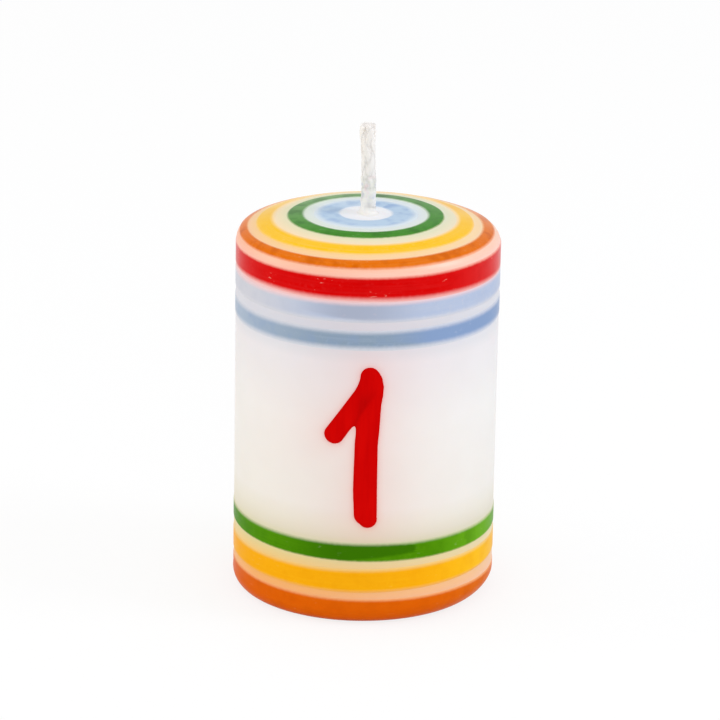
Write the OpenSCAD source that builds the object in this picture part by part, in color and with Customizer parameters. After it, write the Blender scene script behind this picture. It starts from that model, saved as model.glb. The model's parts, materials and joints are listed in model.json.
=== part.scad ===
// Small hand-painted pillar candle: a cast wax core with a cotton wick, dipped in hard white wax
// and painted with coloured rings and a red numeral.
// Millimetres, +Z up. The origin is the middle of the base, and the numeral faces -Y.

/* [Wax body] */
// Diameter over the painted stripes
body_d = 40; // [34:0.5:60]
// Height of the wax at the middle of the top
body_h = 58.7; // [48:0.1:100]
// Radius of the flat middle of the top
crown_flat_r = 7; // [5:0.5:9]
// Radius of the arc that falls from the flat middle towards the shoulder
crown_arc_r = 30; // [24:1:60]
// Radius of the rounded shoulder between top and side
shoulder_r = 1.9; // [1.5:0.1:3]
// Radius of the rounded bottom edge
foot_r = 2.8; // [1.6:0.1:3.2]
// Thickness of the white wax dipped over the core
jacket_t = 1.2; // [0.6:0.1:1.4]

/* [Wick] */
// Diameter of the braided cotton wick
wick_d = 2.2; // [1.4:0.1:3.2]
// Length of wick that stands above the top
wick_h = 14; // [8:0.5:22]
// Distance of the wick to the right of the candle's axis, as it was cast
wick_offset = 0.1; // [0:0.1:0.8]
// Lean of the free end towards the left, in degrees
wick_lean = 2.2; // [0:0.2:5]
// Radius of the hollow curve of wax drawn up round the foot of the wick
collar_r = 1.2; // [0.8:0.1:3]
// Length of wick that stays straight above the collar
wick_root_h = 0.3; // [0.1:0.1:1]
// Room between the straight wick and the round root of the end that bends
bend_gap = 0.15; // [0.1:0.05:0.3]

/* [Wick sustainer] */
// Diameter of the tin-plate disc
sustainer_d = 12; // [8:0.5:20]
// Thickness of the tin plate
sustainer_t = 0.3; // [0.2:0.05:0.5]
// Height of the neck that grips the wick
sustainer_neck_h = 4; // [2:0.5:8]
// Depth of the disc above the plane the candle stands on
sustainer_inset = 0.4; // [0.2:0.1:1]
// Room round the wick, in the wax and in the neck
wick_gap = 0.05; // [0.02:0.01:0.1]
// Room round the sustainer in the wax
sustainer_gap = 0.05; // [0.02:0.01:0.1]

/* [Painted stripes] */
// Thickness of the paint
paint_t = 0.2; // [0.1:0.05:0.4]
// Plain wax left round the wick's collar
spot_margin = 1.75; // [0.6:0.05:2.5]
// Width of the pale blue ring on the top
blue_ring_w = 3.3; // [2:0.1:3.5]
// Width of the green ring on the top
green_ring_w = 2.35; // [1.5:0.05:2.8]
// Width of the yellow ring on the top
yellow_ring_w = 2.25; // [1.5:0.05:2.5]
// Width of the orange ring at the rim
orange_ring_w = 1.55; // [0.5:0.05:1.8]
// Plain gap between the pale blue ring and the green ring
green_ring_gap = 2.25; // [1.5:0.05:3]
// Plain gap between the green ring and the yellow ring
yellow_ring_gap = 2.1; // [1.5:0.05:3]
// Plain gap between the yellow ring and the orange ring
orange_ring_gap = 1.4; // [1:0.05:2]
// Plain gap between the orange ring and the side of the body
rim_gap = 0.7; // [0.5:0.05:1]
// Depth of the red band's upper edge under the top
red_drop = 4.15; // [3.6:0.05:6]
// Height of the red band under the shoulder
red_band_h = 3.05; // [2:0.05:4]
// Plain gap under the red band
red_gap = 0.95; // [0.5:0.05:2]
// Height of the sky blue band
sky_band_h = 2.4; // [1.5:0.1:3.5]
// Plain gap under the sky blue band
sky_gap = 2; // [1:0.1:3]
// Height of the blue band
blue_band_h = 2.3; // [1.5:0.1:3]
// Height at which the orange band starts above the base
orange_lift = 0.1; // [0.1:0.05:0.6]
// Height of the orange band round the bottom edge
orange_band_h = 4; // [2.5:0.05:4.2]
// Plain gap above the orange band
orange_gap = 1.65; // [1:0.05:2.5]
// Height of the yellow band
yellow_band_h = 3.1; // [2:0.1:4]
// Plain gap above the yellow band
yellow_gap = 1.6; // [1:0.1:2.5]
// Height of the green band
green_band_h = 2.65; // [1.5:0.05:3.5]

/* [Painted numeral] */
// Width of the numeral's upright stroke
stem_w = 3.3; // [2.4:0.1:4]
// Width of the numeral's slanting stroke
flag_w = 3; // [2:0.1:3.6]
// Distance from the numeral's foot to the green band
numeral_foot_gap = 2.55; // [1.5:0.05:4]
// Distance from the numeral's head to the blue band
numeral_head_gap = 3.1; // [1.5:0.1:5]
// Distance of the numeral's foot to the right of the middle of the front
stem_foot_x = 0.2; // [-1:0.1:1]
// Lean of the numeral's head to the right of its foot
stem_head_lean = 0.7; // [0:0.05:2]
// Height above the foot at which the upright stroke starts to lean
stem_bend_h = 9; // [4:0.5:10]
// Depth of the slanting stroke's join under the middle of the numeral's head
flag_join_drop = 1.6; // [0.8:0.1:3]
// Reach of the slanting stroke to the left of its join
flag_reach = 5.4; // [3:0.1:7]
// Fall of the slanting stroke from its join to its end
flag_fall = 7.3; // [5:0.1:8]

/* [Hidden] */
$fn = 96;

// The jacket's side, and the height where the shoulder's arc meets it.
body_r = body_d / 2;
jacket_r = body_r - paint_t;
shoulder_x = jacket_r - shoulder_r;
arc_span = crown_arc_r - shoulder_r;
arc_side = shoulder_x - crown_flat_r;
shoulder_z = body_h - crown_arc_r + sqrt(arc_span * arc_span - arc_side * arc_side);

// The wick, from the sustainer's disc to the round root of its free end.
wick_r = wick_d / 2;
wick_bore_r = wick_r + wick_gap;
collar_top_z = body_h + collar_r;
wick_top_z = collar_top_z + wick_root_h;
bend_z = wick_top_z + bend_gap + wick_r;
wick_end_h = body_h + wick_h - bend_z;

// The sustainer, and the recess that it lies in.
neck_r = wick_bore_r + sustainer_t;
disc_top_z = sustainer_inset + sustainer_t;
neck_top_z = disc_top_z + sustainer_neck_h;

// Rings on the top, from the plain spot round the wick outwards: the gaps are fitted to the width of the top.
spot_r = wick_bore_r + collar_r + spot_margin;
ring_w = [blue_ring_w, green_ring_w, yellow_ring_w, orange_ring_w];
ring_gap = [green_ring_gap, yellow_ring_gap, orange_ring_gap, rim_gap];
function total(list, i = 0) = i == len(list) ? 0 : list[i] + total(list, i + 1);
gap_fit = (body_r - spot_r - total(ring_w)) / total(ring_gap);
function ring_start(i) = i == 0 ? spot_r : ring_start(i - 1) + ring_w[i - 1] + gap_fit * ring_gap[i - 1];

// Bands on the side: three hang from the top and three stand on the base.
red_z = body_h - red_drop - red_band_h;
sky_z = red_z - red_gap - sky_band_h;
blue_z = sky_z - sky_gap - blue_band_h;
yellow_z = orange_lift + orange_band_h + orange_gap;
green_z = yellow_z + yellow_band_h + yellow_gap;

// The numeral's strokes, from middle to middle of their round ends.
stem_foot = [stem_foot_x, green_z + green_band_h + numeral_foot_gap + stem_w / 2];
stem_bend = stem_foot + [0, stem_bend_h];
stem_head = [stem_foot_x + stem_head_lean, blue_z - numeral_head_gap - stem_w / 2];
flag_join = stem_head - [0, flag_join_drop];
flag_end = flag_join - [flag_reach, flag_fall];

// Half outline of the dipped candle, grown outwards by a distance and cut off at the base plane.
module half_outline(grow) {
    crown_end_x = crown_flat_r + (crown_arc_r + grow) * arc_side / arc_span;
    intersection() {
        union() {
            square([jacket_r - foot_r, foot_r]);
            translate([jacket_r - foot_r, foot_r])
                circle(foot_r + grow);
            translate([0, foot_r])
                square([jacket_r + grow, shoulder_z - foot_r]);
            translate([shoulder_x, shoulder_z])
                circle(shoulder_r + grow);
            square([crown_flat_r, body_h + grow]);
            intersection() {
                translate([crown_flat_r, body_h - crown_arc_r])
                    circle(crown_arc_r + grow);
                translate([0, shoulder_z])
                    square([crown_end_x, body_h + grow - shoulder_z]);
            }
        }
        square([body_d, 2 * body_h]);
    }
}

// Paint on the jacket, wherever the half outline lies inside the zone given as a child.
module paint_layer() {
    rotate_extrude()
        intersection() {
            difference() {
                half_outline(paint_t);
                half_outline(0);
            }
            children();
        }
}

// Painted ring on the top, counted from the wick outwards.
module top_ring(i) {
    paint_layer()
        translate([ring_start(i), shoulder_z])
            square([ring_w[i], body_h]);
}

// Painted band round the side, from a height above the base.
module side_band(z, h) {
    paint_layer()
        translate([0, z])
            square([body_d, h]);
}

// Brush stroke with round ends from point a to point b.
module stroke(a, b, w) {
    run = b - a;
    translate(a)
        rotate(atan2(run.y, run.x)) {
            circle(d = w);
            translate([0, -w / 2])
                square([norm(run), w]);
            translate([norm(run), 0])
                circle(d = w);
        }
}

// Room for the wick, from the disc of the sustainer up through the wax.
module wick_bore() {
    translate([wick_offset, 0, 0])
        cylinder(r = wick_bore_r, h = 2 * body_h);
}

module wick_sustainer() {
    color("#b9babb")
        translate([wick_offset, 0, sustainer_inset])
            difference() {
                union() {
                    cylinder(d = sustainer_d, h = sustainer_t);
                    cylinder(r = neck_r, h = sustainer_t + sustainer_neck_h);
                }
                translate([0, 0, -sustainer_inset])
                    cylinder(r = wick_bore_r, h = body_h);
            }
}

module wick() {
    color("#efece6")
        translate([wick_offset, 0, sustainer_inset])
            cylinder(r = wick_r, h = wick_top_z - sustainer_inset);
}

module wick_end() {
    color("#efece6")
        translate([wick_offset, 0, bend_z])
            rotate([0, -wick_lean, 0]) {
                sphere(r = wick_r);
                cylinder(r = wick_r, h = wick_end_h);
            }
}

module wax_core() {
    color("#f3efe6")
        difference() {
            rotate_extrude()
                half_outline(-jacket_t);
            wick_bore();
            translate([wick_offset, 0, 0]) {
                cylinder(r = sustainer_d / 2 + sustainer_gap, h = disc_top_z);
                cylinder(r = neck_r + sustainer_gap, h = neck_top_z);
            }
        }
}

module white_jacket() {
    color("#ebe6e3")
        difference() {
            rotate_extrude()
                difference() {
                    half_outline(0);
                    half_outline(-jacket_t);
                }
            wick_bore();
        }
}

module wick_collar() {
    color("#eceae6")
        translate([wick_offset, 0, body_h])
            rotate_extrude()
                translate([wick_bore_r, 0])
                    difference() {
                        square(collar_r);
                        translate([collar_r, collar_r])
                            circle(collar_r);
                    }
}

module blue_top_ring() {
    color("#bccfe6")
        top_ring(0);
}

module green_top_ring() {
    color("#4f9a2c")
        top_ring(1);
}

module yellow_top_ring() {
    color("#fdc92f")
        top_ring(2);
}

module orange_top_ring() {
    color("#e6740c")
        top_ring(3);
}

module red_shoulder_band() {
    color("#d60202")
        side_band(red_z, red_band_h);
}

module sky_blue_band() {
    color("#b3bfd6")
        side_band(sky_z, sky_band_h);
}

module blue_band() {
    color("#8ea2c0")
        side_band(blue_z, blue_band_h);
}

module green_base_band() {
    color("#469108")
        side_band(green_z, green_band_h);
}

module yellow_base_band() {
    color("#f9b212")
        side_band(yellow_z, yellow_band_h);
}

module orange_base_band() {
    color("#dc5f02")
        side_band(orange_lift, orange_band_h);
}

module number_one() {
    color("#d30000")
        intersection() {
            rotate([90, 0, 0])
                linear_extrude(body_d) {
                    stroke(stem_foot, stem_bend, stem_w);
                    stroke(stem_bend, stem_head, stem_w);
                    stroke(flag_join, flag_end, flag_w);
                }
            difference() {
                cylinder(r = jacket_r + paint_t, h = body_h);
                cylinder(r = jacket_r, h = body_h);
            }
        }
}

wick_sustainer();
wick();
wick_end();
wax_core();
white_jacket();
wick_collar();
blue_top_ring();
green_top_ring();
yellow_top_ring();
orange_top_ring();
red_shoulder_band();
sky_blue_band();
blue_band();
green_base_band();
yellow_base_band();
orange_base_band();
number_one();
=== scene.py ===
import json

import bmesh
import bpy
import numpy as np
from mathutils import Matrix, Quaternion, Vector


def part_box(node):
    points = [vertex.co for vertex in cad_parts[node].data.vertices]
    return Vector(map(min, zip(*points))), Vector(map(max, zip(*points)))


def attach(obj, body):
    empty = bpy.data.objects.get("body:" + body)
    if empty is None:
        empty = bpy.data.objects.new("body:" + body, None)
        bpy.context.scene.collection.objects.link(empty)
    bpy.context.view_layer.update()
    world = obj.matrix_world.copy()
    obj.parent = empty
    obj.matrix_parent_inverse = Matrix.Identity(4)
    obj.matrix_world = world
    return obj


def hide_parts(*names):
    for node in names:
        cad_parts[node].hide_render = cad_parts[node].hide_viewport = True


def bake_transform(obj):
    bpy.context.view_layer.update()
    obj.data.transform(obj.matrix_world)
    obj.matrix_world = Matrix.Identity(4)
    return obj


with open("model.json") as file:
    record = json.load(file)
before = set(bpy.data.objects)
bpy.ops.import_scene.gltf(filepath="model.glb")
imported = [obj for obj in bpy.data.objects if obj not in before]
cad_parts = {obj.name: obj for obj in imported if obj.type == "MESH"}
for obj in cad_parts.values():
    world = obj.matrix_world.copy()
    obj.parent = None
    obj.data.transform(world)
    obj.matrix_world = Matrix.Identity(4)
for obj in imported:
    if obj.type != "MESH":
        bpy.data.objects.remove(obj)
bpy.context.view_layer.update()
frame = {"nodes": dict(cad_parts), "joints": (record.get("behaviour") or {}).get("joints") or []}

# Wick sustainer: a disc with a short neck, pressed from thin tin-plated steel sheet.
# The neck is crimped round the foot of the wick, and the disc lies in a recess in the candle's base.
# Sizes are in millimetres, here and in the sections below, and MM turns them into the frame's metres.
MM = 0.001
ROLL_LINE = 0.25
ROLL_RUN = 8.0
ROLL_RELIEF = 0.01
TIN_DARK, TIN_BRIGHT = "#a9abad", "#d2d3d2"


def linear(code):
    """Linear colour of an sRGB hex code: each channel over 255, with the sRGB curve undone."""
    srgb = np.array([int(code[i:i + 2], 16) for i in (1, 3, 5)]) / 255
    return (*np.where(srgb <= 0.04045, srgb / 12.92, ((srgb + 0.055) / 1.055) ** 2.4), 1.0)


def in_use(sockets):
    """Sockets of a node that its settings leave in use."""
    return [socket for socket in sockets if socket.enabled]


def feed(node, sockets):
    """Sets each input of a node, given by name or number, to a value, or links it to a socket or to
    another node's first output in use."""
    for key, value in sockets.items():
        inputs = in_use(node.inputs)
        socket = inputs[key] if isinstance(key, int) else next(one for one in inputs if one.name == key)
        if isinstance(value, bpy.types.Node):
            value = in_use(value.outputs)[0]
        if isinstance(value, bpy.types.NodeSocket):
            node.id_data.links.new(value, socket)
        else:
            socket.default_value = value


def add_node(tree, kind, sockets=(), **settings):
    """Adds a shader node with its own settings, and feeds its inputs."""
    node = tree.nodes.new("ShaderNode" + kind)
    for name, value in settings.items():
        setattr(node, name, value)
    feed(node, dict(sockets))
    return node


def new_material(name, sockets):
    """A material with one Principled surface, whose inputs get the values in sockets."""
    material = bpy.data.materials.new(name)
    material.use_nodes = True
    surface = material.node_tree.nodes["Principled BSDF"]
    feed(surface, sockets)
    return material, material.node_tree, surface


def set_material(piece, material):
    """The material becomes the only one on the piece."""
    piece.data.materials.clear()
    piece.data.materials.append(material)


# Tin plate is a dull silver, with fine lines along the way the sheet was rolled.
# Real lines are finer, and these are as coarse as they need to be to show.
tin_plate, tree, surface = new_material("tin_plate_rolled", {"Metallic": 1.0})
place = add_node(tree, "TexCoord").outputs["Object"]
along_sheet = add_node(tree, "Mapping", {
    "Vector": place, "Scale": (1 / (ROLL_RUN * MM), 1 / (ROLL_LINE * MM), 1 / (ROLL_LINE * MM))})
lines = add_node(tree, "TexNoise", {"Vector": along_sheet, "Scale": 1.0, "Detail": 3.0})
silver = add_node(tree, "Mix", {
    "Factor": lines, "A": linear(TIN_DARK), "B": linear(TIN_BRIGHT)}, data_type="RGBA")
dullness = add_node(tree, "MapRange", {"Value": lines, "To Min": 0.28, "To Max": 0.5})
relief = add_node(tree, "Bump", {"Height": lines, "Strength": 0.2, "Distance": ROLL_RELIEF * MM})
feed(surface, {"Base Color": silver, "Roughness": dullness, "Normal": relief})
set_material(frame["nodes"]["wick_sustainer"], tin_plate)

# Wax core: the candle that was cast first, of off-white paraffin, with the wick down its middle.
# Only its flat base shows, inside the rim of the dipped jacket.
CLOUD = 6.0
SCUFF = 0.5
SCUFF_RELIEF = 0.03
CORE_CLOUDY, CORE_CLEAR = "#ece4d6", "#f6f2ea"
PARAFFIN_IOR = 1.44

# The base cooled against a plate, so it is satin, with cloudy patches and fine scuffs from standing.
core_wax, tree, surface = new_material("paraffin_cast", {"IOR": PARAFFIN_IOR, "Specular IOR Level": 0.3})
place = add_node(tree, "TexCoord").outputs["Object"]
cloud = add_node(tree, "TexNoise", {"Vector": place, "Scale": 1 / (CLOUD * MM), "Detail": 4.0})
scuff = add_node(tree, "TexNoise", {
    "Vector": place, "Scale": 1 / (SCUFF * MM), "Detail": 3.0, "Distortion": 1.5})
wax = add_node(tree, "Mix", {
    "Factor": cloud, "A": linear(CORE_CLOUDY), "B": linear(CORE_CLEAR)}, data_type="RGBA")
satin = add_node(tree, "MapRange", {"Value": scuff, "To Min": 0.4, "To Max": 0.62})
relief = add_node(tree, "Bump", {"Height": scuff, "Strength": 0.25, "Distance": SCUFF_RELIEF * MM})
feed(surface, {"Base Color": wax, "Roughness": satin, "Normal": relief})
set_material(frame["nodes"]["wax_core"], core_wax)

# White jacket: hard white wax, dipped over the side, shoulder and top of the core in a few coats.
# The coats run a little unevenly. The wax between two stripes is painted with some of their colour,
# a painted glow that stands in for their light scattered through the translucent wax.
# Along its outline the distance s is measured from the middle of the top to the base.
CROWN_FLAT = 7.0
CROWN_ARC = 30.0
SHOULDER_ARC = 1.9
FOOT_ARC = 2.8
FOOT_TRIM = 0.32
BORE_GAP = 0.05
BASE_CLEAR = 0.03
BASE_NEST = 0.25
OUTLINE_POINTS = 4000
COARSE_STEP, FOOT_STEP, FINE_STEP = 0.8, 0.44, 0.22
FINE_MARGIN = 1.2
INNER_SKIP = 5
WELD = 0.0001
CREASE = 40
# The coats together swell by SWELL, rising and falling over a stretch at the top and at the base.
# The wax shrinks by SETTLE as it sets.
SWELL = 0.08
SWELL_RISE, SWELL_FALL = 2 * CROWN_FLAT, 2 * FOOT_ARC
SETTLE = 0.01
# Slow waves in the coats: how many go round, the run down the candle, the start and the share.
WAVE = 0.012
WAVES = ((2, 11.0, 0.0, 1.0), (3, -7.0, 1.0, 0.7), (5, 5.0, 2.0, 0.5))
JACKET_R, _, BODY_H = np.array(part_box("white_jacket")[1]) / MM
JACKET_T = BODY_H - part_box("wax_core")[1].z / MM
WICK_R = (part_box("wick")[1].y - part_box("wick")[0].y) / 2 / MM
WICK_X = (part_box("wick")[1].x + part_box("wick")[0].x) / 2 / MM
BORE_R = WICK_R + BORE_GAP

crown_end = np.arcsin((JACKET_R - SHOULDER_ARC - CROWN_FLAT) / (CROWN_ARC - SHOULDER_ARC))
shoulder_z = BODY_H - CROWN_ARC + (CROWN_ARC - SHOULDER_ARC) * np.cos(crown_end)
runs = np.array([
    CROWN_FLAT, CROWN_ARC * crown_end, SHOULDER_ARC * (np.pi / 2 - crown_end),
    shoulder_z - FOOT_ARC, FOOT_ARC * np.pi / 2])
run_starts = np.cumsum(runs) - runs
shoulder_s, side_s, foot_s = run_starts[2:]
foot_run = runs[-1]
outline_length = runs.sum()


def outline(s, lift=0.0):
    """Radius and height on the dipped outline: flat, crown arc, shoulder arc, straight side and foot arc
    in turn. On an arc the slope grows by distance over radius, and the point moves by the arc's sine and
    cosine. lift moves it along the outward normal, which the slope gives."""
    flat, crown, shoulder, side, foot = (np.clip(s - a, 0, b) for a, b in zip(run_starts, runs))
    crown_slope = crown / CROWN_ARC
    shoulder_slope = crown_end + shoulder / SHOULDER_ARC
    foot_slope = np.pi / 2 + foot / FOOT_ARC
    slope = crown_slope + shoulder / SHOULDER_ARC + foot / FOOT_ARC
    radius = (flat + CROWN_ARC * np.sin(crown_slope) + FOOT_ARC * (np.sin(foot_slope) - 1)
              + SHOULDER_ARC * (np.sin(shoulder_slope) - np.sin(crown_end)))
    height = (BODY_H - CROWN_ARC * (1 - np.cos(crown_slope)) - side + FOOT_ARC * np.cos(foot_slope)
              - SHOULDER_ARC * (np.cos(crown_end) - np.cos(shoulder_slope)))
    return radius + lift * np.sin(slope), height + lift * np.cos(slope)


outline_s = np.linspace(0, outline_length, OUTLINE_POINTS)
outline_r, outline_z = outline(outline_s)
above_foot = outline_s < foot_s


def on_candle(s, turn, lift=0.0):
    """Points on the dipped wax at distance s along the outline, turned from the front to the right. The
    coats swell a little, in three slow waves round and down the candle, and thin out at the middle of the
    top and at the base. The foot was trimmed by hand, so its rounding is fuller on the left than on the
    right, by half a wave over the foot's arc. Nothing reaches below the base, where what is lifted off
    the wax lies a little lower than the wax."""
    waves = sum(size * np.sin(times * turn + s / run + start) for times, run, start, size in WAVES)
    rise = np.clip((s - CROWN_FLAT) / SWELL_RISE, 0, 1)
    fall = np.clip((outline_length - s) / SWELL_FALL, 0, 1)
    trim = -FOOT_TRIM * np.sin(turn) * np.sin(np.pi * np.clip((s - foot_s) / foot_run, 0, 1))
    radius, height = outline(s, lift + (SWELL + WAVE * waves) * rise * fall - SETTLE + trim)
    height = np.maximum(height, BASE_CLEAR - BASE_NEST * lift)
    return np.stack(np.broadcast_arrays(radius * np.sin(turn), -radius * np.cos(turn), height), -1)


def grid_faces(rows, columns, closed_rows):
    """Corners of the cells of a grid, as rows and columns of points. Columns always close into rings."""
    i, j = np.meshgrid(np.arange(rows - 1 + closed_rows), np.arange(columns), indexing="ij")
    i, j = i.reshape(-1, 1), j.reshape(-1, 1)
    return np.hstack([i, i + 1, i + 1, i]), np.hstack([j, j, j + 1, j + 1])


def add_field(mesh, name, values):
    """A number for each point of a mesh, as an attribute that a material reads."""
    field = mesh.attributes.new(name, "FLOAT", "POINT")
    field.data.foreach_set("value", values.astype(np.float32).ravel())


def add_piece(name, points, faces, stroke=None, fields=(), crease=CREASE):
    """A piece from points in millimetres and faces. stroke is a UV for each face corner, fields are point
    attributes. Doubled points at the poles are merged, and faces that enclose a negative volume are
    turned over: the volume is summed over the tetrahedra from the origin to each half of a face."""
    corners = points[faces]
    side = corners[:, 1:] - corners[:, :1]
    halves = np.cross(side[:, 0], side[:, 1]) + np.cross(side[:, 1], side[:, 2])
    if np.sum(corners[:, 0] * halves) < 0:
        faces = faces[:, ::-1]
        stroke = None if stroke is None else stroke[:, ::-1]
    mesh = bpy.data.meshes.new(name)
    mesh.from_pydata((points * MM).tolist(), [], faces.tolist())
    if stroke is not None:
        mesh.uv_layers.new(name="stroke").data.foreach_set("uv", stroke.astype(np.float32).ravel())
    for field, values in dict(fields).items():
        add_field(mesh, field, values)
    welded = bmesh.new()
    welded.from_mesh(mesh)
    bmesh.ops.remove_doubles(welded, verts=welded.verts, dist=WELD * MM)
    welded.to_mesh(mesh)
    welded.free()
    mesh.shade_smooth()
    mesh.set_sharp_from_angle(angle=np.radians(crease))
    piece = bpy.data.objects.new(name, mesh)
    bpy.context.scene.collection.objects.link(piece)
    return piece


def add_ring(name, points, across):
    """A piece closed both ways, from points by row across it and column round it. The UV is the share of
    the turn and across."""
    rows, columns = points.shape[:2]
    i, j = grid_faces(rows, columns, True)
    stroke = np.stack([j / columns, np.append(across, across[0])[i]], -1)
    faces = (i % rows) * columns + j % columns
    return add_piece(name, points.reshape(-1, 3), faces, stroke)


def mesh_points(mesh):
    """Points of a mesh in millimetres, as a row each for x, y and z."""
    co = np.empty(len(mesh.vertices) * 3, np.float32)
    mesh.vertices.foreach_get("co", co)
    return co.reshape(-1, 3).T / MM


def stripe_span(node):
    """Where a painted stripe of the frame starts and ends along the outline: a ring on the top by its
    radii, and a band on the side by its heights."""
    x, y, z = mesh_points(frame["nodes"][node].data)
    radius = np.hypot(x, y)
    if z.min() > shoulder_z:
        return np.interp([radius.min(), radius.max()], outline_r[above_foot], outline_s[above_foot])
    return np.interp([-z.max(), -z.min()], -outline_z, outline_s)


def steps(ends, sizes):
    """Places from the first end up to the last, which is left out, in even steps of about the size that
    is given for each stretch."""
    return np.concatenate([
        np.linspace(a, b, int(np.ceil((b - a) / size)), endpoint=False)
        for a, b, size in zip(ends, ends[1:], sizes)])


# The grid is finer behind the numeral, whose red is painted on the wax beside it as a glow of its light
# through the wax.
numeral_low, numeral_high = (np.array(corner)[[0, 2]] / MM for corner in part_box("number_one"))
bore_s = np.interp(BORE_R, outline_r[above_foot], outline_s[above_foot])
fine_z = np.array([numeral_high[1] + FINE_MARGIN, numeral_low[1] - FINE_MARGIN])
outer_s = np.append(
    steps([bore_s, shoulder_s, side_s, *(side_s + shoulder_z - fine_z), foot_s, outline_length],
          [COARSE_STEP, FINE_STEP, COARSE_STEP, FINE_STEP, COARSE_STEP, FOOT_STEP]), outline_length)
inner_s = outer_s[::-INNER_SKIP]
jacket_s = np.concatenate([outer_s, inner_s])
jacket_lift = np.concatenate([np.zeros(len(outer_s)), np.full(len(inner_s), -JACKET_T)])
fine_x = np.array([numeral_low[0] - FINE_MARGIN, numeral_high[0] + FINE_MARGIN])
jacket_turn = steps(
    [-np.pi, *np.arcsin(fine_x / JACKET_R), np.pi],
    np.array([COARSE_STEP, FINE_STEP, COARSE_STEP]) / JACKET_R)
jacket_points = on_candle(jacket_s[:, None], jacket_turn, jacket_lift[:, None])
jacket_points[..., 0] += WICK_X * np.clip((CROWN_FLAT - jacket_s) / (CROWN_FLAT - bore_s), 0, 1)[:, None]
jacket = add_ring("white_jacket_dipped", jacket_points, jacket_s / outline_length)

stripe_names = [
    "blue_top_ring", "green_top_ring", "yellow_top_ring", "orange_top_ring", "red_shoulder_band",
    "sky_blue_band", "blue_band", "green_base_band", "yellow_base_band", "orange_base_band"]
stripe_spans = {name: stripe_span(name) for name in stripe_names}
MOTTLE = 5.0
POLISH = 0.9
POLISH_RELIEF = 0.02
WAX_CLOUD = "#cfc3b8"
# Wax drawn up round the wick, and wax where each plain strip starts and ends, from there to the base.
# The strips' tints are a painted glow: light from the stripes beside them, scattered through the wax.
COLLAR_TINT = "#efece7"
GAP_GLOW_TINTS = [
    ("#f9f8fa", "#edf0f6"), ("#dce6ec", "#dfe9da"), ("#e5e2ba", "#fbe3bc"), ("#fdd28c", "#fdd2a2"),
    ("#fdc1a2", "#fdc0ac"), ("#f9bcb6", "#ebcdd0"), ("#d6d6dd", "#d2d4dd"), ("#dcdde4", "#d6d2ae"),
    ("#e0d296", "#f0ca82"), ("#f4b669", "#f6b27a"), ("#e09c58", "#f3e9dc")]
# Wax of the wide field under the blue band, by distance from its start or, below zero, from its end.
# Its tints are a painted glow from the bands beside it, and painted shade darkens it just above the green
# band.
FIELD_GLOW_AND_SHADE_TINTS = {
    1.0: "#dfdfe3", 2.5: "#e8e5e7", 12.0: "#efede9", -5.5: "#eeeae2", -3.0: "#e9e4d5", -1.2: "#e1dbc6"}
# The wax between the stripes is painted deeper on the left and paler on the right, where the light
# falls: painted light and shade, as saturation at the two sides.
SIDE_SATURATION_LEFT, SIDE_SATURATION_RIGHT = 1.15, 0.87
# Red painted on the wax beside the numeral as a glow of its light through the wax, and its greatest share.
NUMERAL_GLOW_TINT, NUMERAL_GLOW_SHARE = "#ea8a7e", 0.6

# Hard paraffin is white and a little translucent, with a soft gloss, faint clouds and rubbed patches.
# The attribute numeral_glow says how much of the numeral's red is painted on the wax, as a painted glow.
white_wax, tree, surface = new_material("hard_wax_dipped_white", {
    "IOR": PARAFFIN_IOR, "Specular IOR Level": 1.0, "Subsurface Weight": 0.12,
    "Subsurface Scale": 0.4 * MM, "Subsurface Radius": (1.0, 0.7, 0.5)})
stroke = add_node(tree, "UVMap", uv_map="stroke")
down = add_node(tree, "SeparateXYZ", {0: stroke})
tint = add_node(tree, "ValToRGB", {0: down.outputs["Y"]})
stops = dict(zip(
    np.concatenate([[bore_s], *stripe_spans.values(), [outline_length]]), np.array(GAP_GLOW_TINTS).ravel()))
field = stripe_spans["blue_band"][1], stripe_spans["green_base_band"][0]
stops.update({field[distance < 0] + distance: colour for distance, colour in FIELD_GLOW_AND_SHADE_TINTS.items()})
ramp = tint.color_ramp.elements
ramp.remove(ramp[1])
ramp[0].color = linear(COLLAR_TINT)
for distance, colour in stops.items():
    ramp.new(distance / outline_length).color = linear(colour)
place = add_node(tree, "TexCoord").outputs["Object"]
mottle = add_node(tree, "TexNoise", {"Vector": place, "Scale": 1 / (MOTTLE * MM), "Detail": 4.0})
polish = add_node(tree, "TexNoise", {"Vector": place, "Scale": 1 / (POLISH * MM), "Detail": 2.0})
mottling = add_node(tree, "MapRange", {
    "Value": mottle, "From Min": 0.35, "From Max": 0.7, "To Max": 0.05})
aside = add_node(tree, "SeparateXYZ", {0: place})
# Painted light and shade: the tints are made deeper on the left and paler on the right.
side_saturation = add_node(tree, "MapRange", {
    "Value": aside.outputs["X"], "From Min": -JACKET_R * MM, "From Max": JACKET_R * MM,
    "To Min": SIDE_SATURATION_LEFT, "To Max": SIDE_SATURATION_RIGHT})
stained = add_node(tree, "HueSaturation", {"Color": tint, "Saturation": side_saturation})
clouded = add_node(tree, "Mix", {
    "Factor": mottling, "A": stained, "B": linear(WAX_CLOUD)}, data_type="RGBA")
near_numeral = add_node(tree, "Attribute", attribute_name="numeral_glow")
pinkness = add_node(tree, "Math", {
    0: near_numeral.outputs["Fac"], 1: NUMERAL_GLOW_SHARE}, operation="MULTIPLY")
wax = add_node(tree, "Mix", {
    "Factor": pinkness, "A": clouded, "B": linear(NUMERAL_GLOW_TINT)}, data_type="RGBA")
gloss = add_node(tree, "MapRange", {"Value": mottle, "To Min": 0.32, "To Max": 0.46})
relief = add_node(tree, "Bump", {"Height": polish, "Strength": 0.05, "Distance": POLISH_RELIEF * MM})
feed(surface, {"Base Color": wax, "Roughness": gloss, "Normal": relief})
set_material(jacket, white_wax)
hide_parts("white_jacket")
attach(jacket, "candle")

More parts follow.
